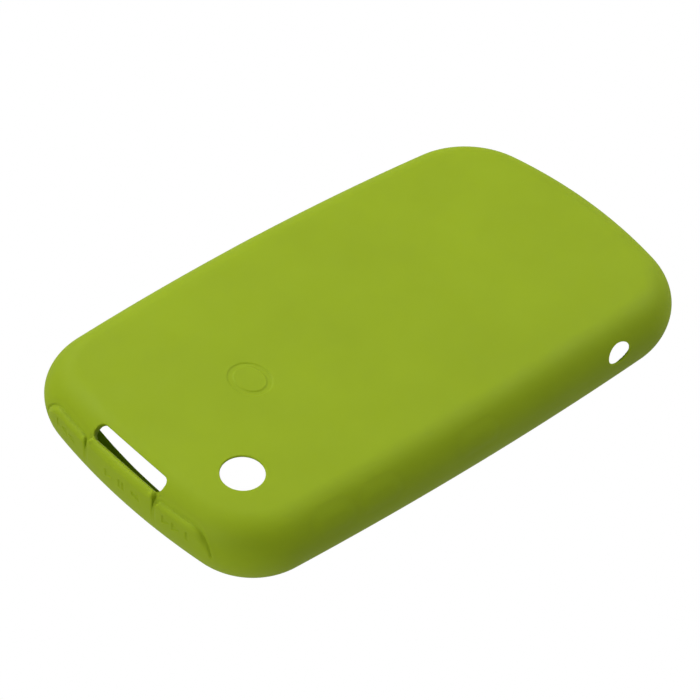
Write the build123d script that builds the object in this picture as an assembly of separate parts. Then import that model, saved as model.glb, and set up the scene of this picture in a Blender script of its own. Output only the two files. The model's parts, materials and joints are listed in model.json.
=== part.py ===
"""Silicone skin for a small keyboard phone: a thin shell, three media keys and four side keys.

The skin lies with its open front down on the XY plane and its back panel up (+Z).  X runs across
the phone and Y along it: the media keys are at the -Y end, the volume keys on the +X side.
Every length is in millimetres.
"""

import os
from math import asin, degrees, sqrt

from build123d import *

# ---- the moulded envelope -----------------------------------------------------------------
HALF_WIDTH = 31.75
HALF_LENGTH = 56.0
HEIGHT = 15.8
WALL = 1.3

# Plan outline: four long arcs joined by four corner arcs, all tangent.
SIDE_ARC = 794.0
KEY_END_ARC = 133.0
KEY_END_CORNER = 13.9
FAR_END_ARC = 97.2
FAR_END_CORNER = 15.6

# Section: the wall curls under to a flat lip and rounds over into a slightly domed back.
SHOULDER_RADIUS = 5.9
CURL_RADIUS = 9.25
CURL_CENTRE_Z = 8.0
DOME_RISE_ACROSS = 1.2
DOME_RISE_ALONG = 1.4

# Open front: how far the edge of the lip lies inside the widest outline.
LIP_SIDE = 4.6
LIP_KEY_END = 9.2
LIP_FAR_END = 6.8
FRONT_CORNER = 9.0
LIP_CREASE_RADIUS = 0.8
LIP_THICKNESS = 1.1

# ---- keys ----------------------------------------------------------------------------------
KEY_GAP = 0.12
KEY_PROUD = 0.3

MEDIA_KEY_BOTTOM = 4.2
MEDIA_KEY_TOP = 11.3
MEDIA_KEY_INNER_X = 9.25
MEDIA_KEY_OUTER_X = 21.5
MEDIA_KEY_SHOULDER = 4.6
MEDIA_KEY_HEEL = 2.2
MEDIA_KEY_CORNER = 1.0
CENTRE_KEY_HALF_WIDTH = 8.6
CENTRE_KEY_TOP = 12.3

SIDE_KEY_Z = 10.6
SIDE_KEY_HEIGHT = 3.8
VOLUME_KEY_LENGTH = 8.2
CONVENIENCE_KEY_LENGTH = 8.6
VOLUME_UP_Y = -34.7
VOLUME_DOWN_Y = -24.8
CONVENIENCE_Y = -2.8

# ---- openings ------------------------------------------------------------------------------
CAMERA_X = 15.6
CAMERA_Y = -42.3
CAMERA_RADIUS = 3.8

SPEAKER_SLOT_HALF_LENGTH = 8.8
SPEAKER_SLOT_WIDTH = 3.0
SPEAKER_SLOT_CORNER = 1.2
SPEAKER_SLOT_Y = -53.55
SPEAKER_SLOT_Z = 13.04
SPEAKER_SLOT_TILT = 40.0

STRAP_HOLE_Y = 31.7
STRAP_HOLE_Z = 10.0
STRAP_HOLE_HALF_LENGTH = 2.7
STRAP_HOLE_HALF_HEIGHT = 1.75

HEADSET_HOLE_Y = -33.0
HEADSET_HOLE_Z = 8.6
HEADSET_HOLE_RADIUS = 3.6
CHARGE_PORT_Y = -20.0
CHARGE_PORT_Z = 8.4
CHARGE_PORT_LENGTH = 11.0
CHARGE_PORT_HEIGHT = 5.6

# Round the camera window and the strap hole the wall is thinned from inside.
THIN_WALL = 0.45
THIN_MARGIN = 1.5
THIN_SIDE_X = 28.6

# Tools that cut or trim a wall reach this far to either side of it.
REACH = 8.0


def corner_centre(half_width, end, side_arc, end_arc, corner):
    """Centre of the corner arc that is tangent inside both the side arc and the end arc."""
    side_centre = Vector(half_width - side_arc, 0)
    end_centre = Vector(0, end - end_arc)
    between = end_centre - side_centre
    from_side = side_arc - corner
    from_end = end_arc - corner
    along = (from_side**2 - from_end**2 + between.length**2) / (2 * between.length)
    across = sqrt(from_side**2 - along**2)
    unit = between.normalized()
    return side_centre + unit * along + Vector(-unit.Y, unit.X) * across


def arc_about(centre, radius, start, finish):
    """The shorter arc from start to finish on a circle."""
    towards_middle = (start + finish - centre * 2).normalized()
    return ThreePointArc(start, centre + towards_middle * radius, finish)


def end_arcs(y_sign, half_width, end, side_arc, end_arc, corner):
    """Corner arc at -X, end arc and corner arc at +X of one end of the outline."""
    side_centre = Vector(half_width - side_arc, 0)
    end_centre = Vector(0, end - end_arc)
    centre = corner_centre(half_width, end, side_arc, end_arc, corner)
    on_side = side_centre + (centre - side_centre).normalized() * side_arc
    on_end = end_centre + (centre - end_centre).normalized() * end_arc

    def placed(point, x_sign):
        return Vector(point.X * x_sign, point.Y * y_sign)

    return [
        arc_about(placed(centre, -1), corner, placed(on_side, -1), placed(on_end, -1)),
        arc_about(placed(end_centre, 1), end_arc, placed(on_end, -1), placed(on_end, 1)),
        arc_about(placed(centre, 1), corner, placed(on_end, 1), placed(on_side, 1)),
    ]


def plan(inset, side_lip=0.0, key_lip=0.0, far_lip=0.0, corner=None):
    """Face of the plan outline, moved in by inset, and further at the sides and ends by the lips."""
    half_width = HALF_WIDTH - inset - side_lip
    side_arc = SIDE_ARC - inset - side_lip
    key_end = end_arcs(
        -1,
        half_width,
        HALF_LENGTH - inset - key_lip,
        side_arc,
        KEY_END_ARC - inset - key_lip,
        corner or KEY_END_CORNER - inset,
    )
    far_end = end_arcs(
        1,
        half_width,
        HALF_LENGTH - inset - far_lip,
        side_arc,
        FAR_END_ARC - inset - far_lip,
        corner or FAR_END_CORNER - inset,
    )
    side_centre = Vector(half_width - side_arc, 0)
    right = arc_about(side_centre, side_arc, key_end[2] @ 1, far_end[2] @ 1)
    left = arc_about(side_centre * -1, side_arc, far_end[0] @ 0, key_end[0] @ 0)
    return make_face(Wire([*key_end, right, *reversed(far_end), left]))


def domed_block(inset):
    """Block under the domed back: its top is an arc across X swung about a distant X axis."""
    across_radius = HALF_WIDTH**2 / (2 * DOME_RISE_ACROSS) - inset
    along_radius = HALF_LENGTH**2 / (2 * DOME_RISE_ALONG) - inset
    top = HEIGHT - inset
    reach = HALF_WIDTH + REACH
    edge_z = top - across_radius + sqrt(across_radius**2 - reach**2)
    floor_z = -REACH
    profile = Wire(
        [
            ThreePointArc((-reach, edge_z), (0, top), (reach, edge_z)),
            Line((reach, edge_z), (reach, floor_z)),
            Line((reach, floor_z), (-reach, floor_z)),
            Line((-reach, floor_z), (-reach, edge_z)),
        ]
    )
    swing = degrees(asin((HALF_LENGTH + REACH) / along_radius))
    axis = Axis((0, 0, top - along_radius), (1, 0, 0))
    block = revolve(Plane.XZ * make_face(profile), axis, 2 * swing)
    return block.rotate(axis, -swing)


def rounded_body(inset):
    """The envelope moved in by inset: domed and rounded above, curled under below."""
    floor_z = CURL_CENTRE_Z - CURL_RADIUS + inset
    prism = Pos(0, 0, floor_z) * extrude(plan(inset), HEIGHT + REACH)
    body = prism & domed_block(inset)
    bottom_edges = body.faces().sort_by(Axis.Z)[0].edges()
    body = fillet(bottom_edges, CURL_RADIUS - inset)
    top_edges = body.faces().sort_by(Axis.Z)[-1].edges()
    return fillet(top_edges, SHOULDER_RADIUS - inset)


def side_tool(face, side):
    """A face drawn in Y and Z, made into a tool through the wall on the +X or -X side."""
    return Pos(side * HALF_WIDTH, 0, 0) * extrude(Plane.YZ * face, REACH, both=True)


def key_end_tool(face):
    """A face drawn in X and Z, made into a tool through the wall at the media-key end."""
    return Pos(0, -HALF_LENGTH, 0) * extrude(Plane.XZ * face, REACH, both=True)


def side_key_face(y, length, gap):
    """Round-ended outline of a side key, with a gap all round when it is the key's window."""
    height = SIDE_KEY_HEIGHT + 2 * gap
    return Pos(y, SIDE_KEY_Z) * SlotOverall(length + 2 * gap, height)


def centre_key_face(gap):
    """Outline of the play and mute key, whose top edge borders the speaker slot."""
    low = MEDIA_KEY_BOTTOM - gap
    high = CENTRE_KEY_TOP + gap
    width = 2 * (CENTRE_KEY_HALF_WIDTH + gap)
    return Pos(0, (low + high) / 2) * RectangleRounded(width, high - low, MEDIA_KEY_CORNER + gap)


def skip_key_face(side, gap):
    """Outline of a track-skip key: its outer corners follow the skin's own rounded corner."""
    inner = side * (MEDIA_KEY_INNER_X - gap)
    outer = side * (MEDIA_KEY_OUTER_X + gap)
    low = MEDIA_KEY_BOTTOM - gap
    high = MEDIA_KEY_TOP + gap
    small = MEDIA_KEY_CORNER + gap
    shoulder = MEDIA_KEY_SHOULDER + gap
    heel = MEDIA_KEY_HEEL + gap
    outline = FilletPolyline(
        (inner, low),
        (outer, low),
        (outer, high),
        (inner, high),
        radius=(small, heel, shoulder, small),
        close=True,
    )
    return make_face(outline)


def speaker_slot():
    """Slot square to the shoulder, running into the top of the centre key's window."""
    outline = RectangleRounded(
        2 * SPEAKER_SLOT_HALF_LENGTH, SPEAKER_SLOT_WIDTH, SPEAKER_SLOT_CORNER
    )
    tool = Rot(X=SPEAKER_SLOT_TILT) * extrude(outline, REACH / 2, both=True)
    return Pos(0, SPEAKER_SLOT_Y, SPEAKER_SLOT_Z) * tool


def strap_hole_face(margin):
    """Oval of the strap hole, made larger by a margin."""
    oval = Ellipse(STRAP_HOLE_HALF_LENGTH + margin, STRAP_HOLE_HALF_HEIGHT + margin)
    return Pos(STRAP_HOLE_Y, STRAP_HOLE_Z) * oval


def opening_tools():
    """Tools for the holes that the phone is used through."""
    charge_port = SlotOverall(CHARGE_PORT_LENGTH, CHARGE_PORT_HEIGHT)
    return [
        Pos(CAMERA_X, CAMERA_Y, HEIGHT) * Cylinder(CAMERA_RADIUS, REACH),
        side_tool(strap_hole_face(0), 1),
        side_tool(Pos(HEADSET_HOLE_Y, HEADSET_HOLE_Z) * Circle(HEADSET_HOLE_RADIUS), -1),
        side_tool(Pos(CHARGE_PORT_Y, CHARGE_PORT_Z) * charge_port, -1),
        speaker_slot(),
    ]


def pocket():
    """The room inside the skin: the envelope less its wall, down to the top of the front lip."""
    above_lip = Pos(0, 0, LIP_THICKNESS + HEIGHT) * Box(4 * HALF_WIDTH, 4 * HALF_WIDTH, 2 * HEIGHT)
    return rounded_body(WALL) & above_lip


def thinned_places():
    """The silicone taken from inside the wall round the camera window and the strap hole."""
    thin = rounded_body(THIN_WALL)
    camera = Pos(CAMERA_X, CAMERA_Y, HEIGHT) * Cylinder(CAMERA_RADIUS + THIN_MARGIN, REACH)
    strap = Pos(THIN_SIDE_X, 0, 0) * extrude(Plane.YZ * strap_hole_face(THIN_MARGIN), REACH)
    return [thin & camera, thin & strap]


def skin_body(inside):
    """The hollow skin before its keys and holes are cut: wall, domed back and front lip."""
    above_table = Pos(0, 0, HEIGHT) * Box(4 * HALF_WIDTH, 4 * HALF_WIDTH, 2 * HEIGHT)
    outside = rounded_body(0) & above_table
    rest_edges = outside.faces().sort_by(Axis.Z)[0].edges()
    outside = fillet(rest_edges, LIP_CREASE_RADIUS)
    lip_edge = plan(0, LIP_SIDE, LIP_KEY_END, LIP_FAR_END, FRONT_CORNER)
    open_front = Pos(0, 0, -REACH) * extrude(lip_edge, REACH + CURL_CENTRE_Z)
    return outside - inside - open_front


def build_parts():
    """Every node of the skin, by name."""
    inside = pocket()
    key_wall = rounded_body(-KEY_PROUD) - inside
    media_keys = {
        "media_key_previous": lambda gap: skip_key_face(-1, gap),
        "media_key_play_mute": centre_key_face,
        "media_key_next": lambda gap: skip_key_face(1, gap),
    }
    side_keys = {
        "volume_up_key": (VOLUME_UP_Y, VOLUME_KEY_LENGTH, 1),
        "volume_down_key": (VOLUME_DOWN_Y, VOLUME_KEY_LENGTH, 1),
        "right_convenience_key": (CONVENIENCE_Y, CONVENIENCE_KEY_LENGTH, 1),
        "left_convenience_key": (CONVENIENCE_Y, CONVENIENCE_KEY_LENGTH, -1),
    }
    parts = {}
    windows = []
    for name, outline in media_keys.items():
        parts[name] = key_wall & key_end_tool(outline(0))
        windows.append(key_end_tool(outline(KEY_GAP)))
    for name, (y, length, side) in side_keys.items():
        parts[name] = key_wall & side_tool(side_key_face(y, length, 0), side)
        windows.append(side_tool(side_key_face(y, length, KEY_GAP), side))
    parts["media_key_play_mute"] -= speaker_slot()
    shell = skin_body(inside)
    for tool in [*opening_tools(), *windows, *thinned_places()]:
        shell -= tool
    parts["skin_shell"] = shell
    return parts


os.makedirs("parts", exist_ok=True)
for node, shape in build_parts().items():
    export_step(shape, f"parts/{node}.step")
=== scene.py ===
"""Looks of the silicone skin: one soft moulded surface, split into its shell and seven key pads.

The skin is described as a distance field in millimetres, turned into a mesh here and split along
the webs that the key pads bend on.  X runs across the phone, Y along it, Z out of the back panel.
"""

import json
from math import cos, radians, sin

import bmesh
import bpy
import numpy as np
from mathutils import Matrix, Vector

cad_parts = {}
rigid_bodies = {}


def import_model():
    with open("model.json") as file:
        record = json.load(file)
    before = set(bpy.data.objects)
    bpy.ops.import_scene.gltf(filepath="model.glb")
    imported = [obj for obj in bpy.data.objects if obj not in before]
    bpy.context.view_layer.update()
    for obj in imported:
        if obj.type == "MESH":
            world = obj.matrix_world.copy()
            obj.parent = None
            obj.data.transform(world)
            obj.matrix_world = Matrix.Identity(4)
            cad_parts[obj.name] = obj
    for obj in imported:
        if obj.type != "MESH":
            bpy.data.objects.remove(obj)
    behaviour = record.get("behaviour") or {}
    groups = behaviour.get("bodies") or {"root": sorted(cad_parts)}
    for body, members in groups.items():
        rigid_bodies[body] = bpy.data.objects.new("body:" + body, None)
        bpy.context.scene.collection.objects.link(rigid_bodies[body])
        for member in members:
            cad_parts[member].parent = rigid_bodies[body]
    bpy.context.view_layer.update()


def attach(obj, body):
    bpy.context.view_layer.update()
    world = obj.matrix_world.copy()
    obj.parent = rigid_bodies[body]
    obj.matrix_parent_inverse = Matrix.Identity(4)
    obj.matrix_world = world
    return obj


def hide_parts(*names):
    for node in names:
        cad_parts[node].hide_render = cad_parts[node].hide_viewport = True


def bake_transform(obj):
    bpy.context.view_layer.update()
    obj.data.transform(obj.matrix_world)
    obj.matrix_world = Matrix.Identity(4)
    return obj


for leftover in list(bpy.data.objects):
    bpy.data.objects.remove(leftover)
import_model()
MM = 0.001

# ---- the moulded envelope, as in the CAD source ----------------------------------------------
HALF_WIDTH = 31.75
HALF_LENGTH = 56.0
HEIGHT = 15.8
WALL = 1.3
SIDE_ARC = 794.0
KEY_END_ARC = 133.0
KEY_END_CORNER = 13.9
FAR_END_ARC = 97.2
FAR_END_CORNER = 15.6
SHOULDER_RADIUS = 5.9
CURL_RADIUS = 9.25
CURL_CENTRE_Z = 8.0
DOME_RISE_ACROSS = 1.2
DOME_RISE_ALONG = 1.4
LIP_SIDE = 4.6
LIP_KEY_END = 9.2
LIP_FAR_END = 6.8
FRONT_CORNER = 9.0
LIP_CREASE_RADIUS = 0.8
LIP_THICKNESS = 1.1
LIP_EDGE_RADIUS = 0.45
POCKET_CORNER_RADIUS = 0.8

# ---- keys --------------------------------------------------------------------------------------
KEY_PROUD = 0.22
MEDIA_KEY_BOTTOM = 4.2
MEDIA_KEY_TOP = 11.3
MEDIA_KEY_INNER_X = 9.25
MEDIA_KEY_OUTER_X = 21.5
MEDIA_KEY_SHOULDER = 4.6
MEDIA_KEY_HEEL = 2.2
MEDIA_KEY_CORNER = 1.0
PAD_SIDE_RADIUS = 0.35
PAD_FILLET = 0.1
SKIP_KEY_TOP_RADIUS = 0.9
CENTRE_KEY_TOP_RADIUS = 1.3
MEDIA_KEY_FLUSH_Z = 5.5
MEDIA_KEY_PROUD_Z = 10.0
MEDIA_KEY_SEAM_X = 8.925
PAD_EDGE_FADE = 1.4
KEY_END_Y = -40.0
CENTRE_KEY_HALF_WIDTH = 8.6
CENTRE_KEY_TOP = 12.3
GROOVE_DEPTH = 0.06
GROOVE_OFFSET = 0.14
GROOVE_HALF_WIDTH = 0.2
GROOVE_END_DEPTH = 0.26
GROOVE_END_X = (17.8, 20.8)
GROOVE_END_Z = (6.6, 7.4)
GROOVE_FADE_Z = (6.5, 10.0)
SIDE_KEY_Z = 10.6
SIDE_KEY_HEIGHT = 3.8
SIDE_KEY_RISE = 0.15
SIDE_KEY_EDGE = 0.5
SIDE_KEY_FADE = 1.8
SIDE_KEYS = {
    "volume_up_key": (-34.7, 8.2, 1),
    "volume_down_key": (-24.8, 8.2, 1),
    "right_convenience_key": (-2.8, 8.6, 1),
    "left_convenience_key": (-2.8, 8.6, -1),
}

# ---- openings ----------------------------------------------------------------------------------
CAMERA = (15.6, -42.3, 3.8)
SLOT_HALF_LENGTH = 8.8
SLOT_HALF_WIDTH = 1.5
SLOT_CORNER = 1.2
SLOT_Y = -53.55
SLOT_Z = 13.04
SLOT_TILT = radians(40)
STRAP_HOLE_CENTRE = (31.7, 10.0)
STRAP_HOLE_SEMI_AXES = (2.7, 1.75)
STRAP_HOLE_FINE_Y = (27.4, 36.0)
HEADSET_HOLE = (-33.0, 8.6, 3.6)
CHARGE_PORT = (-20.0, 8.4, 5.5, 2.8)
RIM_RADIUS = 0.22
THIN_WALL = 0.45
THIN_MARGIN = 1.5
THIN_RAMP = 0.5
THINNED_REACH = 2.5

# ---- marks moulded into the surface ------------------------------------------------------------
ICON_DEPTH = 0.22
ICON_EDGE = 0.12
ICON_HEIGHT = 1.7
ICON_CORNER = 0.1
SKIP_BAR_HALF_WIDTH = 0.27
PAUSE_BAR_HALF_WIDTH = 0.24
PAUSE_BAR_OFFSET = 0.5
ICON_SKIPS = [
    (-17.4, 9.0, [(-15.3, 8.9), (-13.2, 8.8)]),
    (16.8, 8.9, [(12.0, 8.9), (14.3, 8.9)]),
]
ICON_PLAY = (-2.4, 8.8)
ICON_PAUSE = (1.0, 9.0)
ICON_MUTE = (4.7, 9.3)
RING_CENTRE = (-0.2, -27.3)
RING_SEMI_AXES = (3.7, 3.1)
RING_HALF_STROKE = 0.5
RING_DEPTH = 0.16
RING_EDGE = 0.34

# ---- meshing ---------------------------------------------------------------------------------
GRID = 0.6

# ---- regions that features are kept to ---------------------------------------------------------
FAR_AWAY = 50.0
SIDE_WALL_X = 20.0
BACK_PANEL_Z = 8.0
BACK_MARK_Z = 12.0
CENTRE_PATCH_Y = -48.0


def smoothstep(value):
    """0 below 0, 1 above 1, smooth in between."""
    t = np.clip(value, 0, 1)
    return t * t * (3 - 2 * t)


def round_max(a, b, radius):
    """Where both a and b are negative, with the edge between them rounded."""
    u = a + radius
    v = b + radius
    outside = np.hypot(np.maximum(u, 0), np.maximum(v, 0))
    return outside + np.minimum(np.maximum(u, v), 0) - radius


def corner_centre(half_width, end, side_arc, end_arc, corner):
    """Centre of the corner arc tangent inside the side arc and the end arc, with both centres."""
    side = np.array([half_width - side_arc, 0.0])
    tip = np.array([0.0, end - end_arc])
    between = tip - side
    gap = np.hypot(*between)
    from_side = side_arc - corner
    from_end = end_arc - corner
    along = (from_side**2 - from_end**2 + gap**2) / (2 * gap)
    across = (from_side**2 - along**2) ** 0.5
    unit = between / gap
    return side + unit * along + np.array([-unit[1], unit[0]]) * across, side, tip


def end_distance(x, y, half_width, end, side_arc, end_arc, corner):
    """Distance outside one half of the plan outline, for points with x and y above zero."""
    centre, side, tip = corner_centre(half_width, end, side_arc, end_arc, corner)
    to_side = (centre - side) / np.hypot(*(centre - side))
    to_tip = (centre - tip) / np.hypot(*(centre - tip))
    vx = x - centre[0]
    vy = y - centre[1]
    in_corner = (to_side[0] * vy - to_side[1] * vx > 0) & (vx * to_tip[1] - vy * to_tip[0] > 0)
    from_side = np.hypot(x - side[0], y - side[1]) - side_arc
    from_tip = np.hypot(x - tip[0], y - tip[1]) - end_arc
    return np.where(in_corner, np.hypot(vx, vy) - corner, np.maximum(from_side, from_tip))


def plan_distance(x, y, side_lip=0.0, key_lip=0.0, far_lip=0.0, corner=None):
    """Distance outside the plan outline, moved in at the sides and ends by the lips."""
    half_width = HALF_WIDTH - side_lip
    side_arc = SIDE_ARC - side_lip
    key_end = end_distance(
        abs(x),
        -y,
        half_width,
        HALF_LENGTH - key_lip,
        side_arc,
        KEY_END_ARC - key_lip,
        corner or KEY_END_CORNER,
    )
    far_end = end_distance(
        abs(x),
        y,
        half_width,
        HALF_LENGTH - far_lip,
        side_arc,
        FAR_END_ARC - far_lip,
        corner or FAR_END_CORNER,
    )
    return np.where(y < 0, key_end, far_end)


def dome_distance(x, y, z):
    """Distance above the domed back: an arc across X swung about a distant X axis."""
    across = HALF_WIDTH**2 / (2 * DOME_RISE_ACROSS)
    along = HALF_LENGTH**2 / (2 * DOME_RISE_ALONG)
    level = np.hypot(y, z - (HEIGHT - along)) + HEIGHT - along
    return np.hypot(x, level - (HEIGHT - across)) - across


def rounded_box(u, v, half_u, half_v, radius):
    """Distance outside a rounded rectangle; radius may differ from point to point."""
    a = abs(u) - half_u + radius
    b = abs(v) - half_v + radius
    return np.hypot(np.maximum(a, 0), np.maximum(b, 0)) + np.minimum(np.maximum(a, b), 0) - radius


def triangle(u, v, centre_u, centre_v, side, height):
    """Distance outside a triangle that points along +u (side 1) or -u (side -1)."""
    u = (u - centre_u) * side
    v = v - centre_v
    slope = np.hypot(height, height / 2)
    edge = (u * height / 2 + abs(v) * height - height * height / 4) / slope
    return np.maximum(edge, -u - height / 2)


def media_key_distance(x, z, which):
    """Distance outside a media key's outline; which is -1, 0 or 1 from previous to next."""
    if which == 0:
        middle = (MEDIA_KEY_BOTTOM + CENTRE_KEY_TOP) / 2
        half = (CENTRE_KEY_TOP - MEDIA_KEY_BOTTOM) / 2
        return rounded_box(x, z - middle, CENTRE_KEY_HALF_WIDTH, half, MEDIA_KEY_CORNER)
    middle = (MEDIA_KEY_BOTTOM + MEDIA_KEY_TOP) / 2
    half_z = (MEDIA_KEY_TOP - MEDIA_KEY_BOTTOM) / 2
    half_x = (MEDIA_KEY_OUTER_X - MEDIA_KEY_INNER_X) / 2
    u = x * which - (MEDIA_KEY_INNER_X + MEDIA_KEY_OUTER_X) / 2
    v = z - middle
    across = abs(u) - half_x
    above = round_max(across, v - half_z, np.where(u > 0, MEDIA_KEY_SHOULDER, MEDIA_KEY_CORNER))
    below = round_max(across, -v - half_z, np.where(u > 0, MEDIA_KEY_HEEL, MEDIA_KEY_CORNER))
    return np.maximum(above, below)


def side_key_distance(y, z, centre_y, length):
    """Distance outside a side key's round-ended outline."""
    half = SIDE_KEY_HEIGHT / 2
    return rounded_box(y - centre_y, z - SIDE_KEY_Z, length / 2, half, half)


def slot_distance(x, y, z):
    """Distance outside the speaker slot's cut."""
    v = (y - SLOT_Y) * cos(SLOT_TILT) + (z - SLOT_Z) * sin(SLOT_TILT)
    w = (z - SLOT_Z) * cos(SLOT_TILT) - (y - SLOT_Y) * sin(SLOT_TILT)
    outline = rounded_box(x, v, SLOT_HALF_LENGTH, SLOT_HALF_WIDTH, SLOT_CORNER)
    return np.maximum(outline, abs(w) - 4)


def icons(x, z):
    """Distance outside the play, pause, skip and mute symbols on the media keys."""
    shapes = []
    for bar_x, bar_z, triangles in ICON_SKIPS:
        shapes.append(rounded_box(x - bar_x, z - bar_z, SKIP_BAR_HALF_WIDTH, ICON_HEIGHT / 2, ICON_CORNER))
        for triangle_x, triangle_z in triangles:
            towards = 1 if triangle_x > 0 else -1
            shapes.append(triangle(x, z, triangle_x, triangle_z, towards, ICON_HEIGHT))
    shapes.append(triangle(x, z, *ICON_PLAY, 1, ICON_HEIGHT))
    for offset in (-PAUSE_BAR_OFFSET, PAUSE_BAR_OFFSET):
        u = x - ICON_PAUSE[0] - offset
        v = z - ICON_PAUSE[1]
        shapes.append(rounded_box(u, v, PAUSE_BAR_HALF_WIDTH, ICON_HEIGHT / 2, ICON_CORNER))
    speaker_x, speaker_z = ICON_MUTE
    shapes.append(rounded_box(x - speaker_x + 0.6, z - speaker_z, 0.35, 0.4, ICON_CORNER))
    shapes.append(triangle(x, z, speaker_x, speaker_z, -1, ICON_HEIGHT))
    return np.minimum.reduce(shapes)


def oval_distance(u, v, centre, semi_axes):
    """Approximate distance outside an upright ellipse."""
    a, b = semi_axes
    across = (u - centre[0]) / a
    along = (v - centre[1]) / b
    reach = np.hypot(across, along)
    slope = np.hypot(across / a, along / b) / np.maximum(reach, 1e-6)
    return (reach - 1) / np.maximum(slope, 1e-6)


def ring_mark(x, y):
    """Distance outside the plain oval ring that is sunk in the back panel."""
    return abs(oval_distance(x, y, RING_CENTRE, RING_SEMI_AXES)) - RING_HALF_STROKE


def strap_hole_distance(y, z):
    """Distance outside the oval strap hole."""
    return oval_distance(y, z, STRAP_HOLE_CENTRE, STRAP_HOLE_SEMI_AXES)


def field(points, thin_wall=THIN_WALL):
    """Approximate distance outside the silicone, in millimetres, at an array of points."""
    x, y, z = points.T
    plan = plan_distance(x, y)
    floor = CURL_CENTRE_Z - CURL_RADIUS
    curled = round_max(plan, floor - z, CURL_RADIUS)
    shoulder = round_max(plan, dome_distance(x, y, z), SHOULDER_RADIUS)
    envelope = np.maximum(curled, shoulder)
    camera = np.hypot(x - CAMERA[0], y - CAMERA[1]) - CAMERA[2]
    strap = strap_hole_distance(y, z)
    thinned = smoothstep((THIN_MARGIN - camera) / THIN_RAMP) * (z > BACK_PANEL_Z)
    thinned = thinned + smoothstep((THIN_MARGIN - strap) / THIN_RAMP) * smoothstep((x - 27.5) / 1.2)
    wall = WALL - (WALL - thin_wall) * thinned
    pocket = round_max(envelope + wall, LIP_THICKNESS - z, POCKET_CORNER_RADIUS)

    outer = envelope
    key_end = y < KEY_END_Y
    proud = KEY_PROUD * smoothstep(
        (z - MEDIA_KEY_FLUSH_Z) / (MEDIA_KEY_PROUD_Z - MEDIA_KEY_FLUSH_Z)
    )
    low, high = GROOVE_FADE_Z
    groove_depth = GROOVE_DEPTH * smoothstep((z - low) / (high - low))
    pads = []
    for which in (-1, 0, 1):
        k = media_key_distance(x, z, which)
        depth = groove_depth
        if which:
            low, high = GROOVE_END_X
            outer_end = smoothstep((x * which - low) / (high - low))
            low, high = GROOVE_END_Z
            deepened = GROOVE_END_DEPTH * smoothstep((z - low) / (high - low))
            depth = depth * (1 - outer_end) + deepened * outer_end
        groove = depth * np.exp(-(((k - GROOVE_OFFSET) / GROOVE_HALF_WIDTH) ** 2))
        outer = outer + np.where(key_end, groove, 0)
        top_radius = SKIP_KEY_TOP_RADIUS if which else CENTRE_KEY_TOP_RADIUS
        inner_x = MEDIA_KEY_INNER_X if which else -CENTRE_KEY_HALF_WIDTH
        outer_x = MEDIA_KEY_OUTER_X if which else CENTRE_KEY_HALF_WIDTH
        along = x * (which or 1)
        from_side = np.minimum(along - inner_x, outer_x - along)
        rounding = smoothstep(from_side / PAD_EDGE_FADE)
        edge = PAD_SIDE_RADIUS + (top_radius - PAD_SIDE_RADIUS) * rounding
        pad = round_max(curled - proud, k, edge)
        pads.append(np.where(key_end, pad, FAR_AWAY))
    sunk = ICON_DEPTH * smoothstep(0.5 - icons(x, z) / (2 * ICON_EDGE))
    pad = np.minimum.reduce(pads) + np.where(key_end, sunk, 0)
    outer = -round_max(-outer, -pad, PAD_FILLET)
    for centre_y, length, side in SIDE_KEYS.values():
        k = side_key_distance(y, z, centre_y, length)
        rise = SIDE_KEY_RISE * smoothstep((SIDE_KEY_EDGE - k) / SIDE_KEY_FADE)
        outer = outer - np.where(x * side > SIDE_WALL_X, rise, 0)
    ring = RING_DEPTH * smoothstep(0.5 - ring_mark(x, y) / RING_EDGE)
    outer = outer + np.where(z > BACK_MARK_Z, ring, 0)
    outer = round_max(outer, -z, LIP_CREASE_RADIUS)

    skin = np.maximum(outer, -pocket)
    front = plan_distance(x, y, LIP_SIDE, LIP_KEY_END, LIP_FAR_END, FRONT_CORNER)
    skin = round_max(skin, -np.maximum(front, z - CURL_CENTRE_Z), LIP_EDGE_RADIUS)
    skin = round_max(skin, -np.maximum(camera, BACK_PANEL_Z - z), RIM_RADIUS)
    skin = round_max(skin, -np.maximum(strap, SIDE_WALL_X - x), RIM_RADIUS)
    headset = np.hypot(y - HEADSET_HOLE[0], z - HEADSET_HOLE[1]) - HEADSET_HOLE[2]
    skin = round_max(skin, -np.maximum(headset, x + SIDE_WALL_X), RIM_RADIUS)
    centre_y, centre_z, half_length, half_height = CHARGE_PORT
    charge = rounded_box(y - centre_y, z - centre_z, half_length, half_height, half_height)
    skin = round_max(skin, -np.maximum(charge, x + SIDE_WALL_X), RIM_RADIUS)
    return round_max(skin, -slot_distance(x, y, z), RIM_RADIUS)


def gradient(points, thin_wall=THIN_WALL, step=0.02):
    """Unit direction in which the field grows, and how fast it grows, at each point."""
    slope = np.empty_like(points)
    for axis in range(3):
        shift = np.zeros(3)
        shift[axis] = step
        rise = field(points + shift, thin_wall) - field(points - shift, thin_wall)
        slope[:, axis] = rise / (2 * step)
    size = np.maximum(np.linalg.norm(slope, axis=1), 1e-3)
    return slope / size[:, None], size


def onto_surface(points, rounds=3, reach=0.2, thin_wall=THIN_WALL):
    """The points moved onto the surface, by no more than reach in each round."""
    for _ in range(rounds):
        direction, size = gradient(points, thin_wall)
        step = np.clip(field(points, thin_wall) / size, -reach, reach)
        points = points - direction * step[:, None]
    return points


def grid_axis(low, high, fine_from, fine_to):
    """Grid positions from low to high, twice as close between fine_from and fine_to."""
    places = [low]
    while places[-1] < high:
        fine = fine_from < places[-1] < fine_to
        places.append(places[-1] + (GRID / 2 if fine else GRID))
    return np.array(places)


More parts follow.
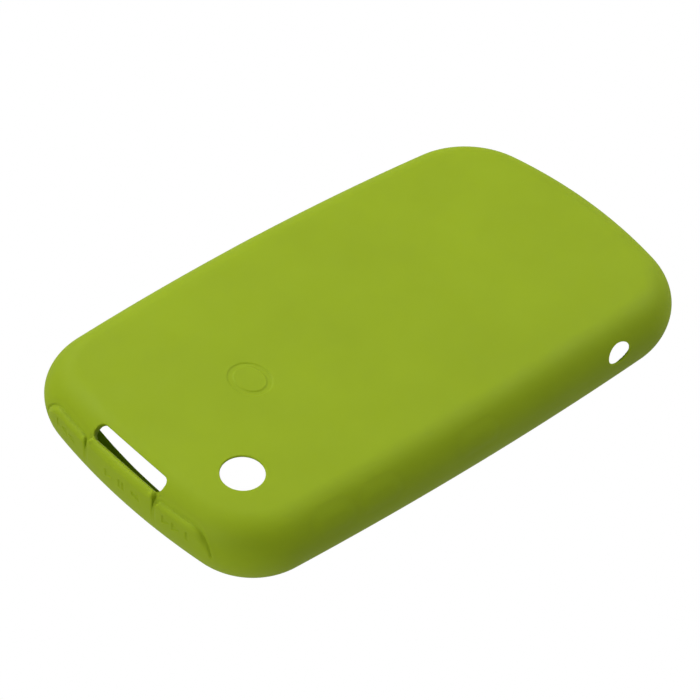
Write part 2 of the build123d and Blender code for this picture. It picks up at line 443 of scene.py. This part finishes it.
def surface_net():
    """Vertices and quads of the whole skin, from a grid of field values."""
    axes = [
        grid_axis(-HALF_WIDTH - 1.0, HALF_WIDTH + 1.0, 27.0, HALF_WIDTH),
        grid_axis(-HALF_LENGTH - 1.1, HALF_LENGTH + 1.0, *STRAP_HOLE_FINE_Y),
        grid_axis(-0.97, HEIGHT + 1.0, 6.0, 14.5),
    ]
    counts = np.array([len(places) for places in axes])
    values = np.empty(counts, np.float32)
    for i, x in enumerate(axes[0]):
        y, z = np.meshgrid(axes[1], axes[2], indexing="ij")
        slab = np.stack([np.full(y.size, x), y.ravel(), z.ravel()], axis=1)
        values[i] = field(slab, WALL).reshape(y.shape)
    inside = values < 0
    total = np.zeros([*(counts - 1), 3], np.float32)
    hits = np.zeros(counts - 1, np.float32)
    corners = [(i, j, k) for i in (0, 1) for j in (0, 1) for k in (0, 1)]
    sides = [slice(0, -1), slice(1, None)]
    for a in corners:
        for axis in range(3):
            if a[axis]:
                continue
            b = tuple(1 if i == axis else a[i] for i in range(3))
            va = values[sides[a[0]], sides[a[1]], sides[a[2]]]
            vb = values[sides[b[0]], sides[b[1]], sides[b[2]]]
            crossing = (va < 0) != (vb < 0)
            share = np.where(crossing, va / np.where(crossing, va - vb, 1), 0)
            for i in range(3):
                place = share if i == axis else a[i]
                total[..., i] += np.where(crossing, place, 0)
            hits += crossing
    index = np.full(counts - 1, -1)
    used = hits > 0
    index[used] = np.arange(used.sum())
    cells = np.argwhere(used)
    share = total[used] / hits[used][:, None]
    points = np.empty_like(share)
    for i, places in enumerate(axes):
        before = places[cells[:, i]]
        points[:, i] = before + (places[cells[:, i] + 1] - before) * share[:, i]
    quads = []
    for axis in range(3):
        u, v = [(1, 2), (2, 0), (0, 1)][axis]
        start = [slice(1, -1)] * 3
        start[axis] = slice(0, -1)
        end = list(start)
        end[axis] = slice(1, None)
        before = inside[tuple(start)]
        after = inside[tuple(end)]
        for flip, mask in ((False, before & ~after), (True, ~before & after)):
            at = np.argwhere(mask)
            offset = np.ones(3, int)
            offset[axis] = 0
            at = at + offset
            ring = []
            for du, dv in ((-1, -1), (0, -1), (0, 0), (-1, 0)):
                cell = at.copy()
                cell[:, u] += du
                cell[:, v] += dv
                ring.append(index[cell[:, 0], cell[:, 1], cell[:, 2]])
            ring = np.stack(ring, axis=1)
            quads.append(ring[:, ::-1] if flip else ring)
    return points, np.concatenate(quads)


def relaxed(points, edges, rounds):
    """The points evened out along the surface, without leaving it."""
    degree = np.bincount(edges.ravel(), minlength=len(points))[:, None]
    for _ in range(rounds):
        total = np.zeros_like(points)
        for axis in range(3):
            for a, b in ((0, 1), (1, 0)):
                total[:, axis] += np.bincount(
                    edges[:, a], weights=points[edges[:, b], axis], minlength=len(points)
                )
        drift = total / degree - points
        direction, _ = gradient(points)
        drift -= direction * np.sum(drift * direction, axis=1)[:, None]
        points = onto_surface(points + 0.5 * drift, 1)
    return onto_surface(points, 2)


def fineness(points):
    """Distance from each point to the nearest small moulded feature."""
    x, y, z = points.T
    envelope = np.maximum(
        round_max(plan_distance(x, y), -z - CURL_RADIUS + CURL_CENTRE_Z, CURL_RADIUS),
        round_max(plan_distance(x, y), dome_distance(x, y, z), SHOULDER_RADIUS),
    )
    hidden = np.where(envelope > -0.7, 0.0, FAR_AWAY)
    near = [abs(np.hypot(x - CAMERA[0], y - CAMERA[1]) - CAMERA[2])]
    right = np.where(x > 0, 0, FAR_AWAY)
    left = np.where(x < 0, 0, FAR_AWAY)
    near.append(abs(strap_hole_distance(y, z)) + right)
    near.append(abs(np.hypot(y - HEADSET_HOLE[0], z - HEADSET_HOLE[1]) - HEADSET_HOLE[2]) + left)
    centre_y, centre_z, half_length, half_height = CHARGE_PORT
    port = rounded_box(y - centre_y, z - centre_z, half_length, half_height, half_height)
    near.append(abs(port) + left)
    near.append(abs(slot_distance(x, y, z)))
    near.append(abs(ring_mark(x, y)) + hidden + np.where(z > BACK_MARK_Z, 0, FAR_AWAY))
    key_end = np.where(y < KEY_END_Y, 0, FAR_AWAY)
    for which in (-1, 0, 1):
        near.append(abs(media_key_distance(x, z, which)) + hidden + key_end)
    near.append(abs(icons(x, z)) + hidden + key_end)
    return np.minimum.reduce(near)


def lip_distance(points):
    """Distance from each point to the edge of the open front."""
    x, y, z = points.T
    front = plan_distance(x, y, LIP_SIDE, LIP_KEY_END, LIP_FAR_END, FRONT_CORNER)
    return np.hypot(front, np.maximum(z - LIP_THICKNESS, 0))


def subdivided(bm, wanted):
    """Splits the edges whose ends are both wanted, given a test on an array of points."""
    bm.verts.ensure_lookup_table()
    points = np.array([v.co for v in bm.verts])
    chosen = wanted(points)
    edges = [e for e in bm.edges if chosen[e.verts[0].index] and chosen[e.verts[1].index]]
    bmesh.ops.subdivide_edges(bm, edges=edges, cuts=1, use_grid_fill=True)
    bm.verts.index_update()
    bm.verts.ensure_lookup_table()
    points = onto_surface(np.array([v.co for v in bm.verts]), 3, 0.15)
    for vert, point in zip(bm.verts, points):
        vert.co = point


def skin_mesh():
    """The whole skin as one bmesh, finer where the moulding has small features."""
    points, quads = surface_net()
    points = onto_surface(points, 3, 0.2, WALL)
    # The grid is too coarse for the thinned wall, so the wall is thinned in steps after it.
    x, y, z = points.T
    near_camera = (np.hypot(x - CAMERA[0], y - CAMERA[1]) < CAMERA[2] + THINNED_REACH) & (z > BACK_PANEL_Z)
    near_strap = (strap_hole_distance(y, z) < THINNED_REACH) & (x > SIDE_WALL_X)
    near = near_camera | near_strap
    for thin_wall in np.linspace(WALL, THIN_WALL, 7)[1:]:
        points[near] = onto_surface(points[near], 2, 0.2, thin_wall)
    mesh = bpy.data.meshes.new("whole_skin")
    mesh.from_pydata(points.tolist(), [], quads.tolist())
    edges = np.empty(len(mesh.edges) * 2, int)
    mesh.edges.foreach_get("vertices", edges)
    points = relaxed(points, edges.reshape(-1, 2), 4)
    mesh.vertices.foreach_set("co", points.ravel())
    bm = bmesh.new()
    bm.from_mesh(mesh)
    subdivided(bm, lambda p: (fineness(p) < 1.0) | (lip_distance(p) < 1.0))
    subdivided(bm, lambda p: fineness(p) < 0.5)
    return bm


# ---- splitting the skin into its shell and its keys ----------------------------------------------
MEDIA_KEYS = {"media_key_previous": -1, "media_key_play_mute": 0, "media_key_next": 1}
KEYS = [*MEDIA_KEYS, *SIDE_KEYS]
SEAM_MARGIN = 1.0
SIDE_SEAM_MARGIN = 0.75


def seam_distance(points, key):
    """Distance outside the patch of skin that belongs to a key and to the web around it."""
    x, y, z = points.T
    if key in SIDE_KEYS:
        centre_y, length, side = SIDE_KEYS[key]
        patch = side_key_distance(y, z, centre_y, length) - SIDE_SEAM_MARGIN
        return np.maximum(patch, SIDE_WALL_X - x * side)
    which = MEDIA_KEYS[key]
    if which == 0:
        v = (y - SLOT_Y) * cos(SLOT_TILT) + (z - SLOT_Z) * sin(SLOT_TILT)
        patch = np.maximum(abs(x) - MEDIA_KEY_SEAM_X, MEDIA_KEY_BOTTOM - SEAM_MARGIN - z)
        return np.maximum(np.maximum(patch, v + SEAM_MARGIN), y - CENTRE_PATCH_Y)
    patch = media_key_distance(x, z, which) - SEAM_MARGIN
    return np.maximum(np.maximum(patch, MEDIA_KEY_SEAM_X - x * which), y - KEY_END_Y)


def cut_along_seam(bm, key):
    """Cuts the faces that a key's seam crosses, so that the seam runs along edges."""
    bm.verts.ensure_lookup_table()
    side = seam_distance(np.array([v.co for v in bm.verts]), key)
    side[abs(side) < 0.004] = 0
    values = dict(zip(bm.verts, side))
    crossed = [e for e in bm.edges if values[e.verts[0]] * values[e.verts[1]] < 0]
    low = np.array([e.verts[0].co for e in crossed])
    high = np.array([e.verts[1].co for e in crossed])
    starts_outside = seam_distance(low, key) > 0
    near = np.zeros(len(crossed))
    far = np.ones(len(crossed))
    for _ in range(20):
        middle = (near + far) / 2
        outside = seam_distance(low + (high - low) * middle[:, None], key) > 0
        same = outside == starts_outside
        near = np.where(same, middle, near)
        far = np.where(same, far, middle)
    for edge, share in zip(crossed, near):
        _, vert = bmesh.utils.edge_split(edge, edge.verts[0], float(share))
        values[vert] = 0
    for face in list(bm.faces):
        found = [values[v] for v in face.verts]
        if min(found) < 0 < max(found):
            on_seam = [v for v in face.verts if values[v] == 0]
            pairs = [
                (a, b)
                for i, a in enumerate(on_seam)
                for b in on_seam[i + 1 :]
                if not any(b in e.verts for e in a.link_edges if face in e.link_faces)
            ]
            if pairs:
                bmesh.utils.face_split(face, *pairs[0])
    bm.verts.index_update()


def seam_loops(edges):
    """Closed loops of vertex indices, from a list of seam edges."""
    neighbours = {}
    for a, b in edges:
        neighbours.setdefault(a, []).append(b)
        neighbours.setdefault(b, []).append(a)
    loops = []
    left = set(neighbours)
    while left:
        start = min(left)
        loop = [start]
        left.discard(start)
        while True:
            onward = [n for n in neighbours[loop[-1]] if n in left]
            if not onward:
                break
            loop.append(onward[0])
            left.discard(onward[0])
        loops.append(loop)
    return loops


def angle_round(points, centre, start):
    """Angle of each point round a centre in a wall's own plane, counted up from start."""
    angles = np.arctan2(points[:, 1] - centre[1], points[:, 0] - centre[0])
    return (angles - start) % (2 * np.pi)


def zipped(outer, inner, outer_angle, inner_angle):
    """Triangles between two chains of vertices that both run in the order of their angles."""
    triangles = []
    i = j = 0
    while i < len(outer) - 1 or j < len(inner) - 1:
        along_outer = j == len(inner) - 1 or (
            i < len(outer) - 1 and outer_angle[i + 1] <= inner_angle[j + 1]
        )
        if along_outer:
            triangles.append((outer[i], outer[i + 1], inner[j]))
            i += 1
        else:
            triangles.append((outer[i], inner[j + 1], inner[j]))
            j += 1
    return [t for t in triangles if len(set(t)) == 3]


def web_walls(loops, points, plane, centre, depth):
    """Triangles that close the cut between the outer and the inner surface along a seam."""
    start = np.pi / 2
    if len(loops) == 2:
        chains = []
        for loop in loops:
            angle = angle_round(points[loop][:, plane], centre, start)
            first = int(np.argmin(angle))
            loop = loop[first:] + loop[:first]
            angle = np.roll(angle, -first)
            if angle[1] > np.pi:
                loop = [loop[0]] + loop[:0:-1]
                angle = np.concatenate([angle[:1], angle[:0:-1]])
            chains.append((loop + [loop[0]], np.append(angle, angle[0] + 2 * np.pi)))
        chains.sort(key=lambda c: -depth(points[c[0]]).mean())
    else:
        loop = loops[0]
        angle = angle_round(points[loop][:, plane], centre, start)
        first = int(np.argmin(angle))
        loop = loop[first:] + loop[:first]
        angle = np.roll(angle, -first)
        last = int(np.argmax(angle))
        there = (loop[: last + 1], angle[: last + 1])
        back = (loop[last:] + [loop[0]], np.append(angle[last:], angle[0]))
        chains = [there, (back[0][::-1], back[1][::-1])]
        chains.sort(key=lambda c: -depth(points[c[0]]).mean())
    (outer, outer_angle), (inner, inner_angle) = chains
    return zipped(outer, inner, outer_angle, inner_angle)


def label_faces(bm):
    """Index of the key that each face belongs to, or -1 for the shell."""
    centres = np.array([f.calc_center_median() for f in bm.faces])
    labels = np.full(len(centres), -1)
    for i, key in enumerate(KEYS):
        labels[seam_distance(centres, key) < 0] = i
    return labels


def seam_edges(bm, labels, inside):
    """Edges between the faces whose labels are in the set and the other faces."""
    found = []
    for edge in bm.edges:
        sides = {int(labels[f.index]) in inside for f in edge.link_faces}
        if len(sides) == 2:
            found.append((edge.verts[0].index, edge.verts[1].index))
    return found


def wall_frame(key):
    """Plane axes, centre and outward depth of the wall that a key is moulded in."""
    if key in SIDE_KEYS:
        centre_y, _, side = SIDE_KEYS[key]
        return [1, 2], (centre_y, SIDE_KEY_Z), lambda p: p[:, 0] * side
    which = MEDIA_KEYS[key]
    centre_x = which * (MEDIA_KEY_INNER_X + MEDIA_KEY_OUTER_X) / 2
    middle = (MEDIA_KEY_BOTTOM + MEDIA_KEY_TOP) / 2
    return [0, 2], (centre_x, middle), lambda p: -p[:, 1]


def turned(triangles, points, plane, centre, outwards):
    """The triangles, each facing away from the centre, or towards it."""
    result = []
    for a, b, c in triangles:
        normal = np.cross(points[b] - points[a], points[c] - points[a])
        middle = (points[a] + points[b] + points[c]) / 3
        away = np.dot(normal[plane], middle[plane] - np.array(centre)) > 0
        result.append((a, b, c) if away == outwards else (a, c, b))
    return result


def moulded_object(name, points, directions, faces, walls, material):
    """A closed object from some of the skin's faces and the walls along its seams."""
    used = sorted({v for face in faces for v in face} | {v for wall in walls for v in wall})
    place = {v: i for i, v in enumerate(used)}
    polygons = [[place[v] for v in face] for face in [*faces, *walls]]
    mesh = bpy.data.meshes.new(name)
    mesh.from_pydata((points[used] * MM).tolist(), [], polygons)
    mesh.polygons.foreach_set("use_smooth", [True] * len(polygons))
    normals = [tuple(directions[v]) for face in faces for v in face]
    for a, b, c in walls:
        normal = np.cross(points[b] - points[a], points[c] - points[a])
        size = np.linalg.norm(normal)
        facing = tuple(normal / size) if size > 1e-9 else (0.0, 0.0, 1.0)
        normals.extend([facing] * 3)
    mesh.normals_split_custom_set(normals)
    mesh.materials.append(material)
    obj = bpy.data.objects.new(name, mesh)
    bpy.context.scene.collection.objects.link(obj)
    return obj


def build_skin(shell_material, key_material):
    """The shell, riding on its CAD body, and the seven keys, each standing in place of its CAD part."""
    bm = skin_mesh()
    for key in KEYS:
        cut_along_seam(bm, key)
    bm.faces.index_update()
    bm.faces.ensure_lookup_table()
    points = np.array([v.co for v in bm.verts])
    directions, _ = gradient(points)
    labels = label_faces(bm)
    faces = [[v.index for v in f.verts] for f in bm.faces]

    shell_walls = []
    media = {KEYS.index(k) for k in MEDIA_KEYS}
    groups = [("media_key_play_mute", media)]
    groups += [(k, {KEYS.index(k)}) for k in SIDE_KEYS]
    for key, inside in groups:
        plane, centre, depth = wall_frame(key)
        loops = seam_loops(seam_edges(bm, labels, inside))
        walls = web_walls(loops, points, plane, centre, depth)
        shell_walls += turned(walls, points, plane, centre, False)
    shell_faces = [f for f, label in zip(faces, labels) if label == -1]
    shell = moulded_object(
        "skin_shell_moulded", points, directions, shell_faces, shell_walls, shell_material
    )
    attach(shell, "skin")
    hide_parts("skin_shell")

    for i, key in enumerate(KEYS):
        plane, centre, depth = wall_frame(key)
        loops = seam_loops(seam_edges(bm, labels, {i}))
        walls = turned(web_walls(loops, points, plane, centre, depth), points, plane, centre, True)
        own = [f for f, label in zip(faces, labels) if label == i]
        pad = moulded_object(key + "_moulded", points, directions, own, walls, key_material)
        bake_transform(pad)
        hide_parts(key)
    bm.free()


# ---- materials -------------------------------------------------------------------------------
def silicone(name, colour, roughness):
    """Matte moulded silicone: soft mottling, slightly uneven roughness and a fine grain."""
    material = bpy.data.materials.new(name)
    material.use_nodes = True
    nodes = material.node_tree.nodes
    links = material.node_tree.links
    shader = nodes["Principled BSDF"]
    shader.inputs["IOR"].default_value = 1.41
    shader.inputs["Specular IOR Level"].default_value = 0.24
    shader.inputs["Subsurface Weight"].default_value = 0.3
    shader.inputs["Subsurface Radius"].default_value = (1.1, 1.0, 0.06)
    shader.inputs["Subsurface Scale"].default_value = 0.0006
    place = nodes.new("ShaderNodeTexCoord")

    mottling = nodes.new("ShaderNodeTexNoise")
    mottling.inputs["Scale"].default_value = 60
    mottling.inputs["Detail"].default_value = 3
    links.new(place.outputs["Object"], mottling.inputs["Vector"])
    tint = nodes.new("ShaderNodeValToRGB")
    tint.color_ramp.elements[0].position = 0.3
    tint.color_ramp.elements[0].color = (*[c * 0.965 for c in colour], 1)
    tint.color_ramp.elements[1].position = 0.7
    tint.color_ramp.elements[1].color = (*[c * 1.03 for c in colour], 1)
    links.new(mottling.outputs["Fac"], tint.inputs["Fac"])
    links.new(tint.outputs["Color"], shader.inputs["Base Color"])

    rub = nodes.new("ShaderNodeTexNoise")
    rub.inputs["Scale"].default_value = 180
    rub.inputs["Detail"].default_value = 4
    links.new(place.outputs["Object"], rub.inputs["Vector"])
    spread = nodes.new("ShaderNodeMapRange")
    spread.inputs["From Min"].default_value = 0.25
    spread.inputs["From Max"].default_value = 0.75
    spread.inputs["To Min"].default_value = roughness - 0.05
    spread.inputs["To Max"].default_value = roughness + 0.05
    links.new(rub.outputs["Fac"], spread.inputs["Value"])
    links.new(spread.outputs["Result"], shader.inputs["Roughness"])

    grain = nodes.new("ShaderNodeTexNoise")
    grain.inputs["Scale"].default_value = 3500
    grain.inputs["Detail"].default_value = 2
    links.new(place.outputs["Object"], grain.inputs["Vector"])
    bump = nodes.new("ShaderNodeBump")
    bump.inputs["Strength"].default_value = 0.25
    bump.inputs["Distance"].default_value = 0.00002
    links.new(grain.outputs["Fac"], bump.inputs["Height"])
    links.new(bump.outputs["Normal"], shader.inputs["Normal"])
    return material


SKIN_COLOUR = (0.285, 0.395, 0.006)
KEY_COLOUR = (0.285, 0.395, 0.007)
ROUGHNESS = 0.62

build_skin(
    silicone("silicone_skin", SKIN_COLOUR, ROUGHNESS),
    silicone("silicone_keys", KEY_COLOUR, ROUGHNESS),
)


# ---- floor, light and camera ---------------------------------------------------------------------
FLOOR_SIZE = 6.0
FLOOR_GAP = 0.00002
FLOOR_BOUNCE = 0.5
AMBIENT = 0.255
SOFT_LIGHT_SIZE = 1.5
SOFT_LIGHTS = [
    ("left", (-2.12, 0.0, 2.12), 49),
    ("front", (0.0, -2.85, 0.93), 37),
    ("back", (0.0, 2.12, 2.12), 38),
]


def white_floor():
    """A floor that glows evenly, so that it reads as plain white with no shadow."""
    mesh = bpy.data.meshes.new("floor")
    half = FLOOR_SIZE / 2
    corners = [(-half, -half), (half, -half), (half, half), (-half, half)]
    mesh.from_pydata([(x, y, -FLOOR_GAP) for x, y in corners], [], [(0, 1, 2, 3)])
    floor = bpy.data.objects.new("floor", mesh)
    bpy.context.scene.collection.objects.link(floor)
    material = bpy.data.materials.new("lit_white_floor")
    material.use_nodes = True
    nodes = material.node_tree.nodes
    links = material.node_tree.links
    nodes.remove(nodes["Principled BSDF"])
    glow = nodes.new("ShaderNodeEmission")
    path = nodes.new("ShaderNodeLightPath")
    level = nodes.new("ShaderNodeMapRange")
    level.inputs["To Min"].default_value = FLOOR_BOUNCE
    level.inputs["To Max"].default_value = 1.0
    links.new(path.outputs["Is Camera Ray"], level.inputs["Value"])
    links.new(level.outputs["Result"], glow.inputs["Strength"])
    links.new(glow.outputs["Emission"], nodes["Material Output"].inputs["Surface"])
    mesh.materials.append(material)


def studio_world():
    """White surroundings for the camera, and a dimmer even light on the object."""
    world = bpy.data.worlds.new("studio")
    bpy.context.scene.world = world
    world.use_nodes = True
    nodes = world.node_tree.nodes
    links = world.node_tree.links
    background = nodes["Background"]
    background.inputs["Color"].default_value = (1, 1, 1, 1)
    path = nodes.new("ShaderNodeLightPath")
    level = nodes.new("ShaderNodeMapRange")
    level.inputs["To Min"].default_value = AMBIENT
    level.inputs["To Max"].default_value = 1.0
    links.new(path.outputs["Is Camera Ray"], level.inputs["Value"])
    links.new(level.outputs["Result"], background.inputs["Strength"])


def soft_light(name, position, size, power, target=(0.0, 0.0, 0.008)):
    """A square soft box that faces the object."""
    data = bpy.data.lights.new(name, "AREA")
    data.size = size
    data.energy = power
    light = bpy.data.objects.new(name, data)
    light.location = position
    facing = Vector(target) - Vector(position)
    light.rotation_mode = "QUATERNION"
    light.rotation_quaternion = facing.to_track_quat("-Z", "Y")
    bpy.context.scene.collection.objects.link(light)


white_floor()
studio_world()
for light_name, light_place, light_power in SOFT_LIGHTS:
    soft_light(light_name, light_place, SOFT_LIGHT_SIZE, light_power)

CAMERA_AZIMUTH = radians(45.18)
CAMERA_ELEVATION = radians(42.64)
CAMERA_ROLL = radians(4.5)
CAMERA_TARGET = Vector((-0.8, -3.43, 8.0)) * MM
CAMERA_DISTANCE = 0.540
CAMERA_LENS = 158.5


def add_camera():
    """Camera that looks down on the back, the key end and the right wall."""
    data = bpy.data.cameras.new("camera")
    data.lens = CAMERA_LENS
    data.sensor_width = 36
    data.clip_start = 0.01
    data.clip_end = 20
    camera = bpy.data.objects.new("camera", data)
    back = Vector(
        (
            sin(CAMERA_AZIMUTH) * cos(CAMERA_ELEVATION),
            -cos(CAMERA_AZIMUTH) * cos(CAMERA_ELEVATION),
            sin(CAMERA_ELEVATION),
        )
    )
    right = Vector((cos(CAMERA_AZIMUTH), sin(CAMERA_AZIMUTH), 0))
    up = back.cross(right)
    rolled_right = right * cos(CAMERA_ROLL) + up * sin(CAMERA_ROLL)
    rolled_up = up * cos(CAMERA_ROLL) - right * sin(CAMERA_ROLL)
    rotation = Matrix((rolled_right, rolled_up, back)).transposed()
    camera.location = CAMERA_TARGET + back * CAMERA_DISTANCE
    camera.rotation_mode = "QUATERNION"
    camera.rotation_quaternion = rotation.to_quaternion()
    bpy.context.scene.collection.objects.link(camera)
    bpy.context.scene.camera = camera


add_camera()
bpy.context.scene.view_settings.view_transform = "Standard"
bpy.context.scene.view_settings.look = "None"

bpy.context.view_layer.update()
